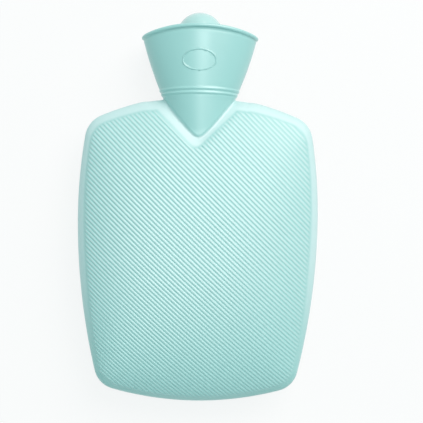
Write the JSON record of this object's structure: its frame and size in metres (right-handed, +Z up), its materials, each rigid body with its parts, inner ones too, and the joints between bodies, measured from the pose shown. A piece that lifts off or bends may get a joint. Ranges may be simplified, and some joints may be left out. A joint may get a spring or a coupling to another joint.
{
  "type": "hot water bottle",
  "caption": "Ribbed one-piece hot water bottle lying on its back, with a plain yoke, a wide oval funnel with a rolled rim, and a screw stopper with a ball knob.",
  "frame": {"origin": "centre of the flat area on the back of the body, on the surface that the bottle lies on", "axes": "+X across the body, +Y up the neck towards the stopper, +Z up, out of the ribbed face"},
  "size_m": [0.199, 0.3216, 0.0593],
  "materials": {
    "bottle_mint": "soft satin thermoplastic, mint",
    "socket_white": "satin, off-white moulding",
    "seal_grey": "soft matte seal",
    "stopper_mint": "satin moulding, pale mint"
  },
  "bodies": {
    "bottle_body": {"bottle": "bottle_mint", "thread_socket": "socket_white"},
    "seal_body": {"stopper_seal": "seal_grey"},
    "stopper_body": {"stopper": "stopper_mint"}
  },
  "joints": [
    {"name": "stopper_lift", "type": "slide", "parent": "bottle_body", "child": "seal_body", "axis": [0, 1, 0], "range_m": [0, 0.0135]},
    {"name": "stopper_turn", "type": "hinge", "parent": "seal_body", "child": "stopper_body", "pos_m": [0, 0.115, 0.0285], "axis": [0, 1, 0], "range_deg": [0, 1080]}
  ],
  "couplings": [
    {"joint": "stopper_lift", "follows": "stopper_turn", "m_per_rad": 0.0007162}
  ]
}
